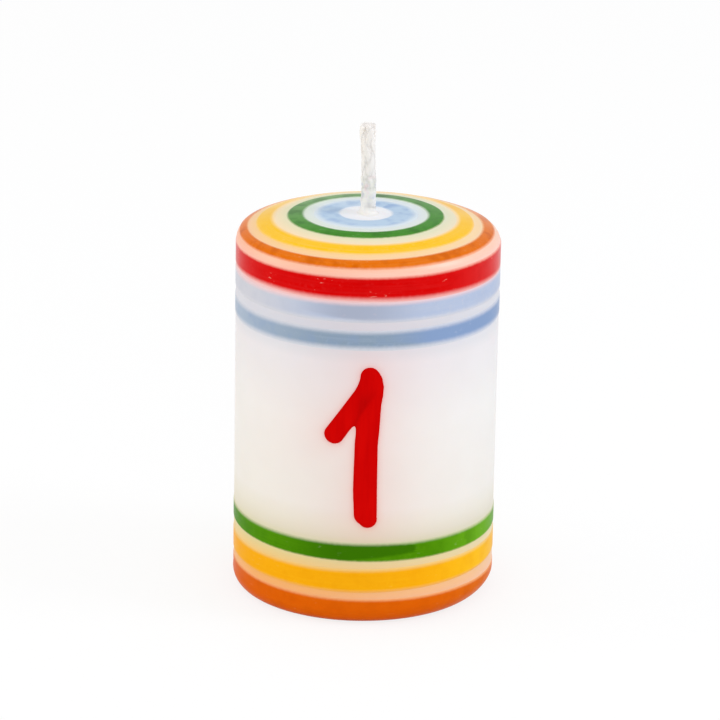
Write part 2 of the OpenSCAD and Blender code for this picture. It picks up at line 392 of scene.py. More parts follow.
# Wick collar: white wax that the last dip drew up round the foot of the wick, in a hollow curve.
# It is the same wax as the jacket, set on it unevenly where the wick came out of the bath.
COLLAR_R = 1.2
COLLAR_HOLLOW = 1.7
COLLAR_HEEL = 4
COLLAR_SINK = 0.12
COLLAR_WALL = 0.15
COLLAR_ROWS, COLLAR_COLUMNS = 18, 96
WICK_SET = 0.22
# How far the wax spreads and climbs: a mean, and waves by how many go round, start and share.
SPREAD_MEAN, SPREAD_WAVES = 0.95, ((1, 1.0, 0.12), (3, 0.0, 0.1), (7, 0.0, 0.06))
CLIMB_MEAN, CLIMB_WAVES = 0.88, ((2, 2.0, 0.08), (5, 0.0, 0.05))
LUMP, LUMPS_ROUND, LUMPS_TWIST = 0.07, 4, 3


def uneven(turn, mean, waves):
    """A share that changes round the wick: the mean, and the sum of some sine waves."""
    return mean + sum(size * np.sin(times * turn + start) for times, start, size in waves)


# The face climbs from the top of the jacket to the wick, steeper all the way, with lumps half-way up.
# Its heel is sunk in the jacket, and an inner wall inside the wick closes it.
climb = np.linspace(0, np.pi / 2, COLLAR_ROWS)[:, None]
collar_turn = np.linspace(0, 2 * np.pi, COLLAR_COLUMNS, endpoint=False)
reach = COLLAR_R * uneven(collar_turn, SPREAD_MEAN, SPREAD_WAVES)
rise = COLLAR_R * uneven(collar_turn, CLIMB_MEAN, CLIMB_WAVES)
lump = LUMP * np.sin(LUMPS_ROUND * collar_turn + LUMPS_TWIST * climb) * np.sin(2 * climb)
collar_r = np.concatenate([
    BORE_R + reach * (1 - np.sin(climb)) ** COLLAR_HOLLOW + lump,
    np.full((2, COLLAR_COLUMNS), BORE_R - COLLAR_WALL)])
collar_z = np.concatenate([
    rise * (1 - np.cos(climb)) - COLLAR_SINK * np.cos(climb) ** COLLAR_HEEL,
    rise[None] - COLLAR_WALL, np.full((1, COLLAR_COLUMNS), -2 * COLLAR_SINK)])
collar_x = WICK_X - WICK_SET + collar_r * np.sin(collar_turn)
collar_points = np.stack([collar_x, -collar_r * np.cos(collar_turn), BODY_H + collar_z], -1)
collar = add_ring("wick_collar_drawn_up", collar_points, np.zeros(len(collar_points)))
set_material(collar, white_wax)
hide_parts("wick_collar")
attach(collar, "candle")

# Wick: one unbroken cord of eight cotton yarns, braided round a core and primed with wax.
# It runs from the sustainer up through the candle, and its free end bends just above the collar.
# The primed foot is smooth and a little lumpy, and the cut tip frays.
LEAN = np.radians(1.0)
SWAY, SWAY_RUN_X, SWAY_RUN_Y = 0.05, 2.0, 1.7
WICK_SEED = 11
WICK_CREASE = 60
hinge = np.array(frame["joints"][0]["pos_m"]) / MM
wick_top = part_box("wick_end")[1].z / MM
wick_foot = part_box("wick")[0].z / MM
draw = np.random.default_rng(WICK_SEED)


def wick_line(z):
    """Middle of the wick at each height: straight in the wax, set over a little to the left in the
    collar, then leaning to the left from the bend on, with a slow sway above the bend."""
    free = np.clip(z - hinge[2], 0, None)
    set_over = WICK_SET * np.clip((z - BODY_H) / COLLAR_R + 0.5, 0, 1)
    x = WICK_X - set_over - np.tan(LEAN) * free + SWAY * np.sin(free / SWAY_RUN_X)
    return x, SWAY * np.sin(free / SWAY_RUN_Y)


def tubes(middle, out, width, thickness, sides):
    """Flat tubes along paths. middle holds each path's points, out the way from the wick's middle. The
    section is an ellipse, thickness along out and width along the cross product of out and the path's
    own direction."""
    way = np.gradient(middle, axis=1)
    way /= np.linalg.norm(way, axis=-1, keepdims=True)
    aside = np.cross(way, out)
    aside /= np.linalg.norm(aside, axis=-1, keepdims=True)
    angle = np.linspace(0, 2 * np.pi, sides, endpoint=False)[:, None]
    spread = (out * (thickness / 2)[..., None])[:, :, None] * np.cos(angle)
    spread = spread + (aside * (width / 2)[..., None])[:, :, None] * np.sin(angle)
    return middle[:, :, None] + spread


def round_off(z, low, high, length):
    """One along the middle of a tube, falling to zero at both ends as an arc of the given length does."""
    near = np.clip(np.minimum(z - low, high - z) / length, 0, 1)
    return np.sqrt(1 - (1 - near) ** 2)


# The yarns: half of them wind to the right and half to the left, each rising over one and dipping under
# the next. They end unevenly, and spread a little towards the cut tip.
YARNS = 8
BRAID_TURN = 20.0
BRAID_SINK = 1.0
BRAID_FOOT = BODY_H - BRAID_SINK
YARN_W = 0.98
YARN_T = 0.52
YARN_MID = 0.8
YARN_RISE = 0.07
YARN_TIP = 0.35
YARN_SHORT, YARN_UNEVEN = 0.2, 0.7
YARN_ROWS, YARN_SIDES = 120, 12
FRAY_LENGTH = 4.0
FRAY_LEAST, FRAY_MORE = 0.04, 0.24
yarn = np.arange(YARNS)[:, None]
yarn_end = wick_top - YARN_SHORT - YARN_UNEVEN * draw.random(YARNS)[:, None]
yarn_z = BRAID_FOOT + (yarn_end - BRAID_FOOT) * np.linspace(0, 1, YARN_ROWS)
hand = np.where(yarn % 2, -1, 1)
yarn_turn = hand * 2 * np.pi * yarn_z / BRAID_TURN + (yarn // 2 + (hand < 0) / 2) * 4 * np.pi / YARNS
over = hand * np.cos(np.pi * (YARNS * yarn_z / BRAID_TURN - 0.5))
fray = FRAY_LEAST + FRAY_MORE * draw.random(YARNS)[:, None]
fray = fray * np.clip((yarn_z - wick_top) / FRAY_LENGTH + 1, 0, 1)
yarn_r = YARN_MID + YARN_RISE * over + fray
line_x, line_y = wick_line(yarn_z)
out = np.stack([np.cos(yarn_turn), np.sin(yarn_turn), np.zeros_like(yarn_turn)], -1)
middle = np.stack([line_x, line_y, yarn_z], -1) + out * yarn_r[..., None]
full = round_off(yarn_z, BRAID_FOOT, yarn_end, YARN_TIP)
yarns = tubes(middle, out, YARN_W * full, YARN_T * full, YARN_SIDES)

# The core: it fills the wick's width inside the candle, then lies under the yarns, and over them where
# the foot is primed. The priming wax ends raggedly, by waves round the wick, and has a few lumps.
CORE_R = 0.92
CORE_LEAD = 2.0
CORE_END = 0.35
CORE_ROWS, CORE_SIDES = 110, 40
PRIMED_TO = 64.4
PRIMED_FADE = 0.35
PRIMED_RAGGED, PRIMED_WAVES = 0.5, ((1, 0.6, 1.0), (3, 0.0, 0.5))
PRIMED_R = 0.18
PRIMED_UNEVEN, PRIMED_TWIST = 0.2, 1.9
# Lumps of the priming wax: height, how tall, how much they stand out, and the way they face, in turns.
PRIMED_LUMPS = (
    (64.2, 0.5, 0.16, 0.5), (62.9, 0.4, -0.12, 0.4), (62.0, 0.45, 0.12, 0.1), (60.8, 0.5, 0.1, 0.6))
LUMP_ALL_ROUND = 0.6
core_top = wick_top - CORE_END
core_rows = np.linspace(BRAID_FOOT - CORE_LEAD, core_top, CORE_ROWS)
core_z = np.concatenate([[wick_foot, wick_foot], core_rows, [core_top]])[:, None]
core_turn = np.linspace(0, 2 * np.pi, CORE_SIDES, endpoint=False)
primed_to = PRIMED_TO + PRIMED_RAGGED * uneven(core_turn, 0, PRIMED_WAVES)
primed = 1 / (1 + np.exp((core_z - primed_to) / PRIMED_FADE))
core_r = CORE_R + PRIMED_R * primed * (1 + PRIMED_UNEVEN * np.sin(2 * core_turn + PRIMED_TWIST * core_z))
for lump_z, tall, stand, face in PRIMED_LUMPS:
    facing = LUMP_ALL_ROUND + (1 - LUMP_ALL_ROUND) * np.cos(core_turn - 2 * np.pi * face)
    core_r = core_r + stand * np.exp(-((core_z - lump_z) / tall) ** 2) * facing
core_r = np.where(core_z < BODY_H, WICK_R, core_r)
core_r[[0, -1]] = 0
line_x, line_y = wick_line(core_z)
core = np.stack(np.broadcast_arrays(
    line_x + core_r * np.cos(core_turn), line_y + core_r * np.sin(core_turn), core_z), -1)

# Loose fibres: most stand in a tuft at the cut tip, and the rest stray from the side of the braid.
# Real ones are finer, and these are as coarse as they need to be to show.
FIBRES = 260
TUFT_SHARE = 0.8
FIBRE_R = 0.034
FIBRE_SIDES = 4
FIBRE_TAPER = np.array([0, 1, 1, 0.9, 0.8, 0])
FIBRE_CURL = 0.6
FIBRE_CURVE = 1.5
TUFT_R, STRAY_R = 1.05, 0.95
TIP_CLEAR = 0.04
# Foot of a fibre from the wick's tip or from the bend, its rise and its flare: least value and range.
TUFT_FOOT, STRAY_FOOT = (-1.3, 0.5), (3.0, 7.0)
TUFT_RISE, STRAY_RISE = (0.45, 0.7), (0.0, 0.6)
TUFT_FLARE, STRAY_FLARE = (0.0, 0.3), (0.14, 0.1)
in_tuft = np.arange(FIBRES) < FIBRES * TUFT_SHARE


def by_chance(tuft, stray):
    """A value for each fibre: the least value of its kind, and a random part of its range."""
    tuft_values = tuft[0] + tuft[1] * draw.random(FIBRES)
    stray_values = stray[0] + stray[1] * draw.random(FIBRES)
    return np.where(in_tuft, tuft_values, stray_values)[:, None]


fibre_t = np.linspace(0, 1, len(FIBRE_TAPER))
fibre_foot = np.where(in_tuft, wick_top, hinge[2])[:, None] + by_chance(TUFT_FOOT, STRAY_FOOT)
fibre_turn = 2 * np.pi * draw.random(FIBRES)[:, None]
fibre_r = np.where(in_tuft, TUFT_R * np.sqrt(draw.random(FIBRES)), STRAY_R)[:, None]
fibre_rise = np.minimum(by_chance(TUFT_RISE, STRAY_RISE), wick_top - TIP_CLEAR - fibre_foot)
fibre_flare = by_chance(TUFT_FLARE, STRAY_FLARE)
fibre_curl = FIBRE_CURL * (draw.random(FIBRES)[:, None] - 0.5)
fibre_z = fibre_foot + fibre_rise * fibre_t
fibre_angle = fibre_turn + fibre_curl * fibre_t
fibre_out = fibre_r + fibre_flare * fibre_t ** FIBRE_CURVE
line_x, line_y = wick_line(fibre_z)
out = np.stack([np.cos(fibre_angle), np.sin(fibre_angle), np.zeros_like(fibre_angle)], -1)
middle = np.stack([line_x, line_y, fibre_z], -1) + out * fibre_out[..., None]
thin = np.broadcast_to(2 * FIBRE_R * FIBRE_TAPER, fibre_z.shape)
fibres = tubes(middle, out, thin, thin, FIBRE_SIDES)

# Yarns, core and fibres become one piece, whose UV goes round and along each tube.
wick_points, wick_faces, wick_stroke = [], [], []
start = 0
for batch in (yarns, core[None], fibres):
    count, rows, columns = batch.shape[:3]
    i, j = grid_faces(rows, columns, False)
    one = i * columns + j % columns
    wick_faces.append((one + np.arange(count)[:, None, None] * rows * columns + start).reshape(-1, 4))
    wick_stroke.append(np.tile(np.stack([j / columns, i / (rows - 1)], -1), (count, 1, 1)))
    wick_points.append(batch.reshape(-1, 3))
    start += count * rows * columns
wick = add_piece(
    "wick_braided", np.concatenate(wick_points), np.concatenate(wick_faces), np.concatenate(wick_stroke),
    crease=WICK_CREASE)

FIBRE_LINE = 0.12
FIBRE_RUN = 2.5
FIBRE_RELIEF = 0.04
STAIN = 1.2
SOAK_FADE = 1.0
COAT_FADE = 1.6
COTTON_SHADE, COTTON_BARE = "#eee8e3", "#fdfaf7"
FALLING = {"To Min": 1.0, "To Max": 0.0}
# Colour of the soaked cotton by the level of the stain pattern.
STAINS = {0.28: "#d6dce6", 0.4: "#edebe9", 0.5: "#f2f0e4", 0.58: "#efebe8", 0.72: "#f2dbd8"}

# Cotton is a warm white and dull, with fine fibres along each yarn. Where wax has soaked in, it is
# smoother, greyer and a little stained by the colours that were brushed on near it. Just above the
# collar it is coated with the collar's own wax.
cotton, tree, surface = new_material("cotton_braid_primed", {
    "IOR": PARAFFIN_IOR, "Specular IOR Level": 0.2, "Sheen Weight": 0.15, "Sheen Roughness": 0.5,
    "Subsurface Weight": 0.3, "Subsurface Scale": 0.3 * MM, "Subsurface Radius": (1.0, 0.97, 0.94)})
stroke = add_node(tree, "UVMap", uv_map="stroke")
lie = add_node(tree, "Mapping", {
    "Vector": stroke, "Scale": (2 * YARN_W / FIBRE_LINE, (wick_top - BRAID_FOOT) / FIBRE_RUN, 1.0)})
fibre = add_node(tree, "TexNoise", {"Vector": lie, "Scale": 1.0, "Detail": 2.0})
place = add_node(tree, "TexCoord").outputs["Object"]
height = add_node(tree, "SeparateXYZ", {0: place})
soak = add_node(tree, "MapRange", {
    "Value": height.outputs["Z"], "From Min": (PRIMED_TO - SOAK_FADE) * MM,
    "From Max": (PRIMED_TO + SOAK_FADE) * MM, **FALLING})
stain = add_node(tree, "TexNoise", {"Vector": place, "Scale": 1 / (STAIN * MM), "Detail": 1.0})
bare = add_node(tree, "Mix", {
    "Factor": fibre, "A": linear(COTTON_SHADE), "B": linear(COTTON_BARE)}, data_type="RGBA")
stained = add_node(tree, "ValToRGB", {0: stain})
ramp = stained.color_ramp.elements
ramp.remove(ramp[1])
for level, colour in STAINS.items():
    ramp.new(level).color = linear(colour)
ramp.remove(ramp[0])
waxed = add_node(tree, "Mix", {"Factor": soak, "A": bare, "B": stained}, data_type="RGBA")
coated = add_node(tree, "MapRange", {
    "Value": height.outputs["Z"], "From Min": (BODY_H + COLLAR_R) * MM,
    "From Max": (BODY_H + COLLAR_R + COAT_FADE) * MM, **FALLING}, interpolation_type="SMOOTHSTEP")
footed = add_node(tree, "Mix", {"Factor": coated, "A": waxed, "B": linear(COLLAR_TINT)}, data_type="RGBA")
dry = add_node(tree, "MapRange", {"Value": soak, "To Min": 0.85, "To Max": 0.45})
relief = add_node(tree, "Bump", {"Height": fibre, "Strength": 0.25, "Distance": FIBRE_RELIEF * MM})
feed(surface, {"Base Color": footed, "Roughness": dry, "Normal": relief})
set_material(wick, cotton)
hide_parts("wick", "wick_end")
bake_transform(wick)

# Painted stripes: coloured wax laid on with a brush while the candle turns, four rings on the top,
# three bands under the shoulder and three above the base. Each is a thin flat bead with soft edges.
# The hand makes the edges wander, and where a stroke comes round it laps over its own start.
PAINT_T = 0.08
PAINT_SKIRT = 0.03
PAINT_BACK = 2 * PAINT_SKIRT
PAINT_EDGE = 0.4
STRIPE_ROWS, BACK_ROWS, STRIPE_COLUMNS = 25, 5, 480
TREMBLE = 0.05
TREMBLE_WAVES = np.arange(3, 11)
RAGGED = 0.07
GRIT = 0.6
SPECKLE = 0.28
PATCH = 2.2
STREAK_RUN, STREAK_W = 14.0, 0.45
FLECK_RUN, FLECK_W = 0.9, 0.4
# The lap covers a share of the stripe's width and starts below a share of it. Both edges drift.
LAP_COVER, LAP_COVER_FADE = 0.42, 0.2
LAP_START, LAP_START_FADE = 0.22, 0.1
LAP_SLOPE = 4.0
LAP_RAGGED = 2.2
BLOOM = 0.28
PAINT_SHINE = {"IOR": PARAFFIN_IOR, "Specular IOR Level": 0.02, "Sheen Roughness": 0.28}
PAINT_ROUGH = {"To Min": 0.26, "To Max": 0.42}
PAINT_RELIEF = {"Strength": 0.12, "Distance": 0.03 * MM}
across = (1 - np.cos(np.linspace(0, np.pi, STRIPE_ROWS))) / 2
stripe_across = np.concatenate([across, np.linspace(1, 0, BACK_ROWS)[1:-1]])


def wander(turn, tilt, swell, seed):
    """How far an edge strays from true: a tilt to one side, a swell at both sides, and a small trembling
    made of eight waves round the candle, each with a random start and a size that falls with its
    number."""
    number = TREMBLE_WAVES[:, None]
    start = 2 * np.pi * np.random.default_rng(seed).random(number.shape)
    tremble = np.sum(np.sin(number * turn + start) / number, 0)
    return tilt * np.sin(turn) + swell * (np.cos(2 * turn) - 1) / 2 + TREMBLE * tremble


def brushed_wax(name, colours, edges, width, length, fades, lap, lap_end, dry, patches, glint_flecks, bloom):
    """Pigmented wax laid on with a brush, with the pale bloom that wax gets. colours are where it lies
    full, thin and twice, edges are the wax beside it, into which it fades. The first lap of the stroke,
    as a share of the turn, lies twice, and sets in over lap_end millimetres. It is thin where the brush
    was dry, as a middle and a reach in shares of the turn; on some stripes this thin stretch is partly a
    painted sheen of reflected light. glint_flecks is the share of painted glints, pale flecks for light
    caught on crumbs in the paint."""
    full, thin, twice = (linear(code) for code in colours)
    beside = [linear(code) for code in edges]
    material, tree, surface = new_material(name, {**PAINT_SHINE, "Sheen Weight": bloom})
    stroke = add_node(tree, "UVMap", uv_map="stroke")
    run = add_node(tree, "SeparateXYZ", {0: stroke})
    brush = add_node(tree, "Mapping", {
        "Vector": stroke, "Scale": (length / STREAK_RUN, width / STREAK_W, 1.0)})
    streak = add_node(tree, "TexNoise", {"Vector": brush, "Scale": 1.0, "Detail": 3.0})
    bristle = add_node(tree, "Mapping", {"Vector": stroke, "Scale": (0.0, width / STREAK_W, 0.0)})
    ends = add_node(tree, "TexNoise", {"Vector": bristle, "Scale": 1.0, "Detail": 2.0})
    place = add_node(tree, "TexCoord").outputs["Object"]
    grit = add_node(tree, "TexNoise", {"Vector": place, "Scale": 1 / (GRIT * MM), "Detail": 2.0})

    # Full colour inside, the wax beside it at both edges.
    stray = add_node(tree, "MapRange", {
        "Value": grit, "To Min": -RAGGED / width, "To Max": RAGGED / width})
    side = add_node(tree, "Math", {0: run.outputs["Y"], 1: stray}, operation="ADD")
    first = add_node(tree, "MapRange", {
        "Value": side, "From Max": fades[0] / width}, interpolation_type="SMOOTHSTEP")
    last = add_node(tree, "MapRange", {
        "Value": side, "From Min": 1.0, "From Max": 1 - fades[1] / width}, interpolation_type="SMOOTHSTEP")

    # Thin where bristles drew long streaks, and where the brush was dry. On several stripes the dry
    # stretch is partly painted light, a pale sheen of reflection. The distance from the middle of the dry
    # stretch is taken the shorter way round, so it is half a turn at most.
    streaky = add_node(tree, "MapRange", {
        "Value": streak, "From Min": 0.42, "From Max": 0.72, "To Max": 0.25})
    past = add_node(tree, "Math", {0: run.outputs["X"], 1: dry[0]}, operation="SUBTRACT")
    away = add_node(tree, "Math", {0: past, 1: 1 / 2}, operation="PINGPONG")
    dry_and_sheen = add_node(tree, "MapRange", {
        "Value": away, "From Max": dry[1], **FALLING}, interpolation_type="SMOOTHSTEP")
    speckled = add_node(tree, "MapRange", {
        "Value": grit, "From Min": 0.5, "From Max": 0.75, "To Max": SPECKLE})
    pale = streaky
    for part in (speckled, dry_and_sheen):
        pale = add_node(tree, "Math", {0: pale, 1: part}, operation="MAXIMUM")

    # Twice over the lap, which starts with ragged bristle ends and drifts across the stripe to its end.
    rag = add_node(tree, "Math", {
        0: ends, 1: -LAP_RAGGED / length, 2: run.outputs["X"]}, operation="MULTIPLY_ADD")
    begun = add_node(tree, "MapRange", {"Value": rag, "From Max": lap_end / length})
    left = add_node(tree, "MapRange", {
        "Value": run.outputs["X"], "From Min": lap / 2, "From Max": lap, **FALLING},
        interpolation_type="SMOOTHSTEP")
    drift = add_node(tree, "Math", {
        0: run.outputs["X"], 1: -LAP_SLOPE, 2: side}, operation="MULTIPLY_ADD")
    cover = add_node(tree, "MapRange", {
        "Value": drift, "From Min": LAP_COVER, "From Max": LAP_COVER + LAP_COVER_FADE, **FALLING},
        interpolation_type="SMOOTHSTEP")
    widen = add_node(tree, "Math", {0: run.outputs["X"], 1: LAP_SLOPE, 2: side}, operation="MULTIPLY_ADD")
    below = add_node(tree, "MapRange", {
        "Value": widen, "From Min": LAP_START, "From Max": LAP_START + LAP_START_FADE},
        interpolation_type="SMOOTHSTEP")
    patch = add_node(tree, "TexNoise", {"Vector": place, "Scale": 1 / (PATCH * MM), "Detail": 2.0})
    doubled = add_node(tree, "MapRange", {
        "Value": patch, "From Min": 0.48, "From Max": 0.68, "To Max": patches})
    lapped = begun
    for part in (left, cover, below):
        lapped = add_node(tree, "Math", {0: lapped, 1: part}, operation="MULTIPLY")
    doubled = add_node(tree, "Math", {0: lapped, 1: doubled}, operation="MAXIMUM")

    # Painted glints: small pale flecks, a few together, standing in for light caught on crumbs in the
    # paint.
    dash = add_node(tree, "Mapping", {
        "Vector": stroke, "Scale": (length / FLECK_RUN, width / FLECK_W, 1.0)})
    fleck = add_node(tree, "TexNoise", {"Vector": dash, "Scale": 1.0, "Detail": 1.0})
    glint_dash = add_node(tree, "MapRange", {
        "Value": fleck, "From Min": 0.6, "From Max": 0.7, "To Max": glint_flecks})
    glint_cluster = add_node(tree, "MapRange", {"Value": patch, "From Min": 0.42, "From Max": 0.36})
    glint = add_node(tree, "Math", {0: glint_dash, 1: glint_cluster}, operation="MULTIPLY")

    # The layers in turn: full or thin, twice, painted glints, and the fade into the wax at both edges.
    paint = add_node(tree, "Mix", {"Factor": pale, "A": full, "B": thin}, data_type="RGBA")
    for factor, colour in ((doubled, twice), (glint, beside[0])):
        paint = add_node(tree, "Mix", {"Factor": factor, "A": paint, "B": colour}, data_type="RGBA")
    for factor, colour in ((first, beside[0]), (last, beside[1])):
        paint = add_node(tree, "Mix", {"Factor": factor, "A": colour, "B": paint}, data_type="RGBA")
    gloss = add_node(tree, "MapRange", {"Value": streak, **PAINT_ROUGH})
    relief = add_node(tree, "Bump", {"Height": streak, **PAINT_RELIEF})
    feed(surface, {"Base Color": paint, "Roughness": gloss, "Normal": relief})
    return material


def paint_stripe(
        node, colours, fades, tilts=(0, 0), swells=(0, 0), shifts=(0, 0), draw_in=(0, 0), seam=160,
        lap=-40, lap_end=0.5, dry=(-150, 40), patches=0.3, glint_flecks=0.1, bloom=BLOOM):
    """One stripe along the frame's own: a bead over the dipped wax from one wandering edge to the other,
    half of each fade wider. Its height rises from the skirt, sunk in the wax, to its full thickness by a
    smooth step at each edge. Pairs are for the first and the last edge: tilts and swells make it stray,
    shifts move it, and draw_in moves it nearer the middle of the top at the back. The stroke starts at
    the angle seam, and its lap runs on from there by an angle, to the left below zero. The brush was dry
    round an angle, by a second one to each side, and on some stripes that thin stretch is partly a
    painted sheen of reflected light."""
    seed = stripe_names.index(node)
    start, end = stripe_spans[node]
    turn = np.radians(seam) + np.sign(lap) * np.linspace(0, 2 * np.pi, STRIPE_COLUMNS, endpoint=False)
    back = ((1 - np.cos(turn)) / 2) ** 2
    stray = [wander(turn, tilts[k], swells[k], 2 * seed + k) - draw_in[k] * back for k in (0, 1)]
    first = start + shifts[0] - fades[0] / 2 + stray[0]
    last = np.minimum(end + shifts[1] + fades[1] / 2 + stray[1], outline_length)
    width = end - start + sum(fades) / 2
    step = np.clip(np.minimum(stripe_across, 1 - stripe_across) * width / PAINT_EDGE, 0, 1)
    lift = (PAINT_T + PAINT_SKIRT) * step ** 2 * (3 - 2 * step) - PAINT_SKIRT
    lift[len(across):] = -PAINT_BACK
    points = on_candle(first + (last - first) * stripe_across[:, None], turn, lift[:, None])
    piece = add_ring(node + "_brushed", points, stripe_across)
    length = 2 * np.pi * np.interp((start + end) / 2, outline_s, outline_r)
    edges = GAP_GLOW_TINTS[seed][1], GAP_GLOW_TINTS[seed + 1][0]
    dry_and_sheen_share = (dry[0] - seam) * np.sign(lap) % 360 / 360, dry[1] / 360
    set_material(piece, brushed_wax(
        node + "_wax", colours, edges, width, length, fades, abs(lap) / 360, lap_end, dry_and_sheen_share, patches,
        glint_flecks, bloom))
    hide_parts(node)
    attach(piece, "candle")


# The colours of each stripe are where the paint lies full, thin and twice. The thin colour and its dry
# stretch are partly painted light: a painted sheen on the left and back of the green ring and on the
# backs of the yellow and orange rings, and a painted highlight on the right of the red band. The red
# band's flecks are painted glints.
paint_stripe(
    "blue_top_ring", ("#b6cee5", "#c3d6e8", "#98b4d8"), fades=(0.7, 1.5),
    tilts=(-0.45, -0.45), draw_in=(0.4, 1.0), patches=0.7)
paint_stripe(
    "green_top_ring", ("#358608", "#639a4c", "#1f6602"), fades=(0.7, 0.5),
    tilts=(-0.45, -0.45), shifts=(0, -0.08), draw_in=(1.05, 0.75), seam=190, dry=(-135, 130), patches=0.6,
    bloom=1.6 * BLOOM)
paint_stripe(
    "yellow_top_ring", ("#fcc51a", "#fbd27c", "#f8bb10"), fades=(1.0, 0.6),
    tilts=(-0.45, -0.57), draw_in=(0.6, 0.45), seam=140, dry=(175, 115), bloom=1.3 * BLOOM)
paint_stripe(
    "orange_top_ring", ("#e47003", "#ec9648", "#cc5c00"), fades=(0.6, 0.6),
    tilts=(-0.55, -0.3), swells=(0, 0.3), shifts=(0.03, 0.1), draw_in=(0.4, 0.4), seam=175, dry=(180, 130),
    patches=0.7, bloom=1.5 * BLOOM)
paint_stripe(
    "red_shoulder_band", ("#d60101", "#de2c2c", "#c80000"), fades=(0.6, 1.0),
    tilts=(-0.19, 0.05), shifts=(-0.1, 0.1), dry=(85, 60), glint_flecks=0.3, bloom=2 * BLOOM)
paint_stripe(
    "sky_blue_band", ("#b2bfd8", "#cecfd8", "#a9b1c5"), fades=(0.9, 1.0),
    tilts=(-0.28, -0.13), seam=-34, lap=62, lap_end=7.0, dry=(-66, 66), patches=0.1)
paint_stripe(
    "blue_band", ("#8a9db1", "#a7b7cb", "#869ec4"), fades=(1.0, 1.2),
    tilts=(-0.29, -0.19), shifts=(-0.07, -0.08), seam=4, lap=120, lap_end=7.0, dry=(-75, 70))
paint_stripe(
    "green_base_band", ("#4a8802", "#68aa14", "#387201"), fades=(0.8, 0.5),
    tilts=(0.01, 0.05), swells=(0, 0.33), shifts=(0.06, 0.09), seam=27, lap=-73, dry=(65, 45),
    bloom=0.4 * BLOOM)
paint_stripe(
    "yellow_base_band", ("#f8ac0c", "#fcc01a", "#f0a008"), fades=(0.9, 0.8),
    tilts=(-0.3, -0.3), swells=(0, 0.5), shifts=(0, 0.15), seam=150, dry=(65, 50), bloom=0.4 * BLOOM)
paint_stripe(
    "orange_base_band", ("#de6103", "#e06c0c", "#cc5402"), fades=(0.7, 0.1),
    tilts=(0.15, 0), seam=200, dry=(70, 50), bloom=0.4 * BLOOM)

# Numeral: a figure one, painted on the front with two strokes of red wax, one upright and one slanting.
# The paint stands up as a thin bead with round edges, and where the strokes cross it lies twice.
NUMERAL_T = 0.1
NUMERAL_EDGE = 0.45
NUMERAL_STEP = 0.12
NUMERAL_MARGIN = 0.5
STROKE_BLEND = 1.0
OVERLAP_SOFT, OVERLAP_FADE = 0.5, 2.0
PROBE = 0.01
LEAST_SLOPE = 0.05
OUTLINE_ROUNDS = 3
# Turning points of the two strokes: across, above the numeral's lowest point, and the width there.
UPRIGHT = (
    (0.58, 1.5, 2.8), (0.24, 2.2, 3.42), (0.12, 6.0, 3.57), (0.19, 13.2, 3.42), (0.37, 15.5, 3.45),
    (0.62, 19.5, 3.38), (0.86, 21.2, 3.44), (0.92, 22.2, 3.42), (0.84, 23.1, 3.25), (0.7, 23.6, 3.02),
    (0.6, 23.85, 2.85))
FLAG = (0.32, 22.0, 2.82), (-4.56, 14.62, 2.94)


def stroke_depth(x, z, turns):
    """How deep a point lies inside a brush stroke with round ends: on each straight part half the width,
    which changes evenly from one turning point to the next, less the distance to the part's line, and the
    greatest of these."""
    depths = []
    for (x0, z0, w0), (x1, z1, w1) in zip(turns, turns[1:]):
        along = (x - x0) * (x1 - x0) + (z - z0) * (z1 - z0)
        t = np.clip(along / ((x1 - x0) ** 2 + (z1 - z0) ** 2), 0, 1)
        off_line = np.hypot(x - x0 - t * (x1 - x0), z - z0 - t * (z1 - z0))
        depths.append((w0 + (w1 - w0) * t) / 2 - off_line)
    return np.max(depths, axis=0)


def numeral_depth(x, z):
    """Depth inside the upright and inside the slanting stroke, and inside both joined. They join by a
    smooth maximum, which rounds the notch between them as wet paint does."""
    upright, flag = (stroke_depth(x, z - numeral_low[1], turns) for turns in (UPRIGHT, FLAG))
    share = np.clip(0.5 + 0.5 * (upright - flag) / STROKE_BLEND, 0, 1)
    return upright, flag, flag + (upright - flag) * share + STROKE_BLEND * share * (1 - share)


# A square grid over the numeral, without the cells outside it. The points outside are moved to its
# outline in a few rounds, each up the slope of the depth.
grid_low, grid_high = numeral_low - NUMERAL_MARGIN, numeral_high + NUMERAL_MARGIN
x, z = np.meshgrid(
    np.arange(grid_low[0], grid_high[0], NUMERAL_STEP), np.arange(grid_low[1], grid_high[1], NUMERAL_STEP),
    indexing="ij")
rows, columns = x.shape
cell = np.arange((rows - 1) * (columns - 1))
corner = cell // (columns - 1) * columns + cell % (columns - 1)
faces = np.stack([corner, corner + columns, corner + columns + 1, corner + 1], -1)
x, z = x.ravel(), z.ravel()
faces = faces[np.any(numeral_depth(x, z)[2][faces] > -PAINT_SKIRT, axis=1)]
for _ in range(OUTLINE_ROUNDS):
    depth = numeral_depth(x, z)[2]
    slope_x = (numeral_depth(x + PROBE, z)[2] - numeral_depth(x - PROBE, z)[2]) / (2 * PROBE)
    slope_z = (numeral_depth(x, z + PROBE)[2] - numeral_depth(x, z - PROBE)[2]) / (2 * PROBE)
    short = np.minimum(depth + PAINT_SKIRT, 0) / np.maximum(slope_x ** 2 + slope_z ** 2, LEAST_SLOPE)
    x, z = x - short * slope_x, z - short * slope_z
used, faces = np.unique(faces, return_inverse=True)
faces = faces.reshape(-1, 4)
x, z = x[used], z[used]

